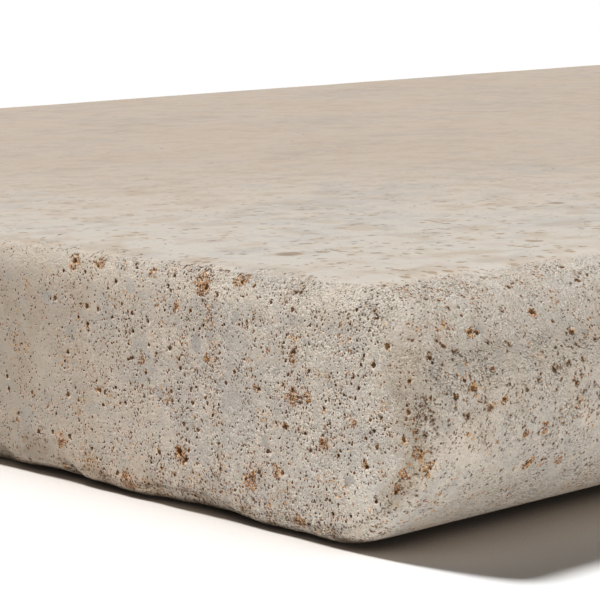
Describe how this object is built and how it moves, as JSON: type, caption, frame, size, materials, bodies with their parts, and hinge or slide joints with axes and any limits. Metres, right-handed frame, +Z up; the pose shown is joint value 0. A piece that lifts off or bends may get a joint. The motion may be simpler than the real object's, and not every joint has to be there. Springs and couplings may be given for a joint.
{
  "type": "pool coping stone",
  "caption": "Flat rectangular pool coping stone with a full bullnose along one long edge, sawn ends and softly worn, lightly chipped edges.",
  "frame": {"origin": "middle of the bed, the underside, under the centre of the bounding box", "axes": "+X along the pool edge, -Y towards the bullnose, +Z up"},
  "size_m": [0.61, 0.305, 0.03],
  "materials": {
    "limestone": "tumbled, unpolished"
  },
  "bodies": {
    "root": {"coping_stone": "limestone"}
  },
  "joints": []
}
